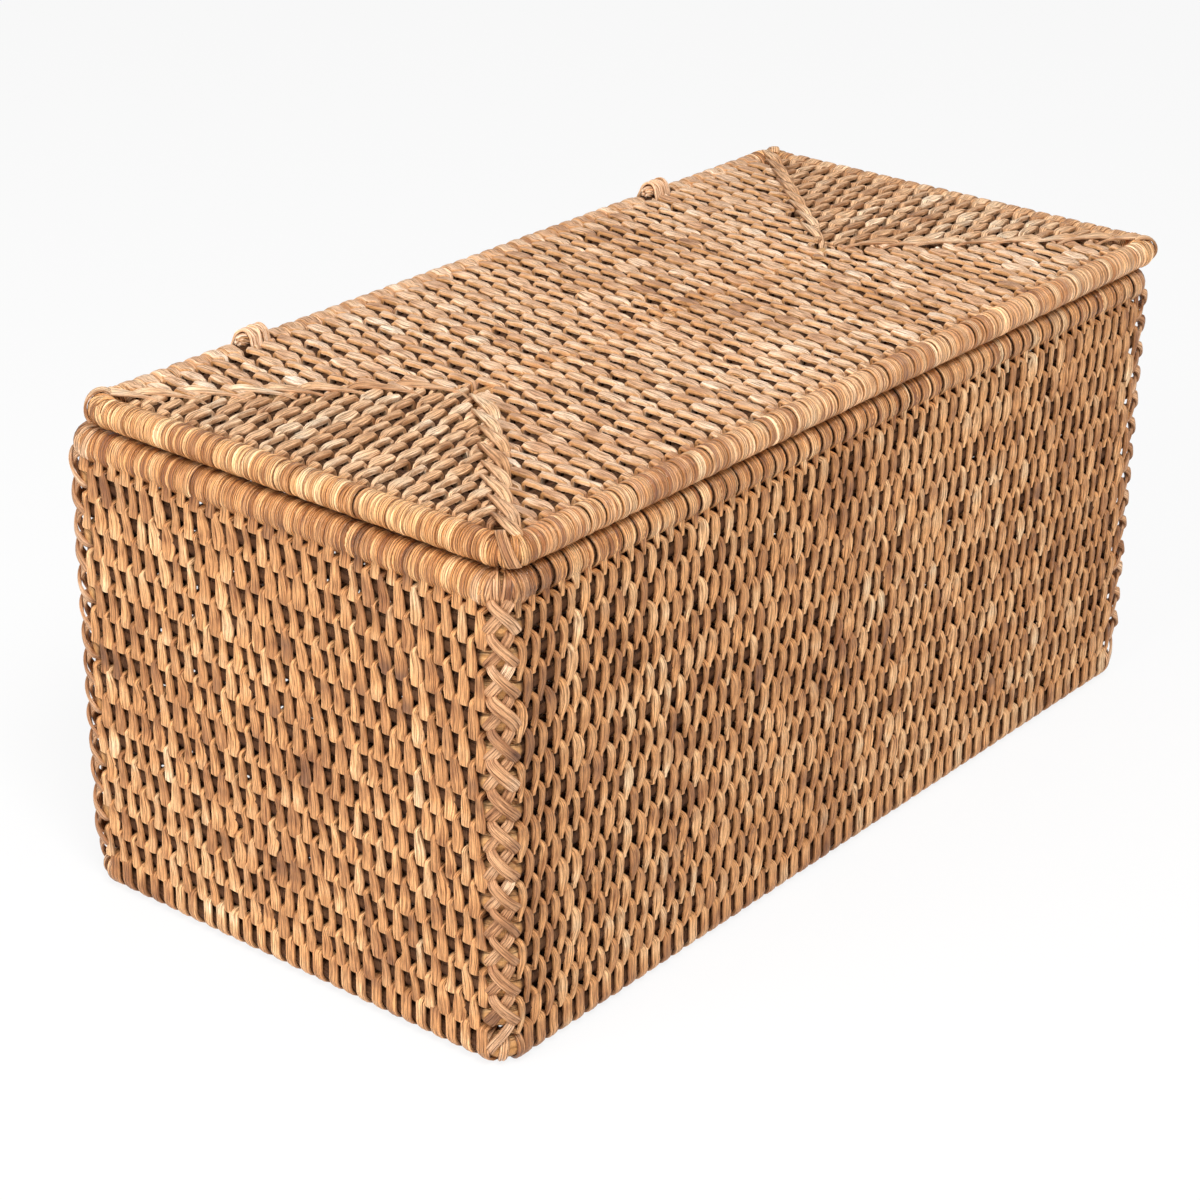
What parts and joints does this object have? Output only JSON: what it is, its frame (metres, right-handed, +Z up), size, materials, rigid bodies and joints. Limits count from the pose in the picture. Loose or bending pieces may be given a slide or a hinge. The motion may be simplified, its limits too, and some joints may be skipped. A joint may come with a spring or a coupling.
{
  "type": "food storage container",
  "caption": "Rectangular woven rattan storage box with a mitred flat lid on cane hinge loops.",
  "frame": {"origin": "centre of the closed box's footprint, at the height it stands on", "axes": "+X along the long side to the right as seen from the front, +Y from the front to the hinged back, +Z up"},
  "size_m": [0.3056, 0.1566, 0.1516],
  "materials": {
    "wall_cane": "split cane, honey tan with brown and cream bands, satin",
    "lid_cane": "split cane, paler and a little pinker than the walls, satin",
    "lacing_cane": "flat cane lacing, honey brown, satin",
    "hinge_cane": "thin cane, tan, satin",
    "rattan_rod": "peeled rattan core, pale and fibrous, matt"
  },
  "bodies": {
    "basket": {"bottom_pole": "rattan_rod", "top_rim_pole": "rattan_rod", "wall_rod_1": "rattan_rod", "wall_rod_2": "rattan_rod", "wall_rod_3": "rattan_rod", "wall_rod_4": "rattan_rod", "wall_rod_5": "rattan_rod", "wall_rod_6": "rattan_rod", "wall_rod_7": "rattan_rod", "wall_rod_8": "rattan_rod", "wall_rod_9": "rattan_rod", "wall_rod_10": "rattan_rod", "wall_rod_11": "rattan_rod", "wall_rod_12": "rattan_rod", "wall_rod_13": "rattan_rod", "wall_rod_14": "rattan_rod", "front_wall_weave": "wall_cane", "back_wall_weave": "wall_cane", "left_wall_weave": "wall_cane", "right_wall_weave": "wall_cane", "front_left_corner_lacing": "lacing_cane", "front_right_corner_lacing": "lacing_cane", "back_left_corner_lacing": "lacing_cane", "back_right_corner_lacing": "lacing_cane", "bottom_weave_middle": "wall_cane", "bottom_weave_left": "wall_cane", "bottom_weave_right": "wall_cane", "bottom_rod_ring_1": "rattan_rod", "bottom_rod_ring_2": "rattan_rod", "bottom_rod_ring_3": "rattan_rod", "bottom_rod_ring_4": "rattan_rod", "bottom_rod_ring_5": "rattan_rod", "bottom_rod_ring_6": "rattan_rod", "bottom_rod_ring_7": "rattan_rod", "bottom_rod_ring_8": "rattan_rod", "bottom_middle_rod": "rattan_rod"},
    "lid": {"lid_weave_middle": "lid_cane", "lid_weave_left": "lid_cane", "lid_weave_right": "lid_cane", "lid_rim_pole": "rattan_rod", "lid_rod_ring_1": "rattan_rod", "lid_rod_ring_2": "rattan_rod", "lid_rod_ring_3": "rattan_rod", "lid_rod_ring_4": "rattan_rod", "lid_rod_ring_5": "rattan_rod", "lid_rod_ring_6": "rattan_rod", "lid_rod_ring_7": "rattan_rod", "lid_rod_ring_8": "rattan_rod", "lid_middle_rod": "rattan_rod", "lid_front_left_seam": "lacing_cane", "lid_front_right_seam": "lacing_cane", "lid_back_left_seam": "lacing_cane", "lid_back_right_seam": "lacing_cane", "left_hinge_loop": "hinge_cane", "left_hinge_knot": "hinge_cane", "right_hinge_loop": "hinge_cane", "right_hinge_knot": "hinge_cane"}
  },
  "joints": [
    {"name": "lid_hinge", "type": "hinge", "parent": "basket", "child": "lid", "pos_m": [0, 0.072, 0.1321], "axis": [-1, 0, 0], "range_deg": [0, 110]}
  ]
}
